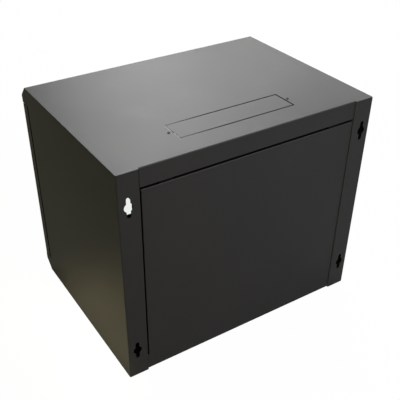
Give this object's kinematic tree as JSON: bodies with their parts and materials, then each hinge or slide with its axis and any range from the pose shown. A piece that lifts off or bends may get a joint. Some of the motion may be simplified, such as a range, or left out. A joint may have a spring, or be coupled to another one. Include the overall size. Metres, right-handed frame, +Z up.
{
  "type": "wall mount network cabinet",
  "caption": "Wall mount network cabinet in folded steel with keyhole wall strips, hinged glass door, cam lock, removable rear panel and rails adjustable in depth.",
  "frame": {"origin": "centre of the underside of the base, midway between the door's face and the wall face", "axes": "+X to the lock side seen from the front, +Y towards the wall, +Z up; the glass door faces -Y"},
  "size_m": [0.6, 0.457, 0.5016],
  "materials": {
    "body_coat": "fine textured black powder coat, soft sheen",
    "door_coat": "fine textured black powder coat, soft sheen",
    "rail_coat": "black powder coat",
    "black_screw": "black oxide",
    "zinc_steel": "bright zinc plated",
    "spring_steel": "plated spring steel",
    "brass": "plain brass",
    "door_glass": "clear tempered glass with a slight grey tint",
    "foam_tape": "black foam tape",
    "buffer_rubber": "matt rubber",
    "bush_nylon": "black nylon",
    "lock_chrome": "bright nickel chrome"
  },
  "bodies": {
    "cabinet": {"top_panel": "body_coat", "bottom_panel": "body_coat", "left_side_panel": "body_coat", "right_side_panel": "body_coat", "top_entry_plate": "body_coat", "bottom_entry_plate": "body_coat", "top_entry_screws": "black_screw", "bottom_entry_screws": "black_screw", "rear_panel": "body_coat", "rear_panel_top_straps": "body_coat", "rear_panel_hooks": "body_coat", "rear_panel_nuts": "zinc_steel", "left_lower_runner": "rail_coat", "left_upper_runner": "rail_coat", "right_lower_runner": "rail_coat", "right_upper_runner": "rail_coat", "earth_stud": "brass", "earth_washers": "brass", "earth_nut": "brass", "upper_hinge_bush": "bush_nylon", "lower_hinge_bush": "bush_nylon", "door_buffers": "buffer_rubber"},
    "left_rail": {"left_equipment_rail": "rail_coat", "left_rail_bolts": "zinc_steel", "left_rail_nuts": "zinc_steel", "left_nut_cages": "spring_steel", "left_cage_nuts": "zinc_steel"},
    "right_rail": {"right_equipment_rail": "rail_coat", "right_rail_bolts": "zinc_steel", "right_rail_nuts": "zinc_steel", "right_nut_cages": "spring_steel", "right_cage_nuts": "zinc_steel"},
    "door": {"door_frame": "door_coat", "door_glass": "door_glass", "glass_tape": "foam_tape", "glass_clips": "zinc_steel", "glass_clip_nuts": "zinc_steel", "upper_hinge_bracket": "zinc_steel", "lower_hinge_bracket": "zinc_steel", "lower_hinge_pin": "zinc_steel", "lock_housing": "lock_chrome", "lock_nut": "lock_chrome"},
    "hinge_pin": {"sprung_hinge_pin": "zinc_steel", "hinge_pin_clip": "spring_steel", "hinge_pin_spring": "spring_steel"},
    "lock": {"lock_plug": "lock_chrome", "lock_cam": "zinc_steel", "cam_screw": "zinc_steel"}
  },
  "joints": [
    {"name": "door_hinge", "type": "hinge", "parent": "cabinet", "child": "door", "pos_m": [-0.293, -0.2155, 0.25], "axis": [0, 0, -1], "range_deg": [0, 180]},
    {"name": "lock_turn", "type": "hinge", "parent": "door", "child": "lock", "pos_m": [0.258, -0.2055, 0.25], "axis": [0, -1, 0], "range_deg": [0, 90]},
    {"name": "hinge_pin_draw", "type": "slide", "parent": "door", "child": "hinge_pin", "axis": [0, 0, -1], "range_m": [0, 0.01], "stiffness_N_per_m": 300, "springref_m": -0.012, "deforming": ["hinge_pin_spring"]},
    {"name": "left_rail_depth", "type": "slide", "parent": "cabinet", "child": "left_rail", "axis": [0, 1, 0], "range_m": [0, 0.1]},
    {"name": "right_rail_depth", "type": "slide", "parent": "cabinet", "child": "right_rail", "axis": [0, 1, 0], "range_m": [0, 0.1]}
  ]
}
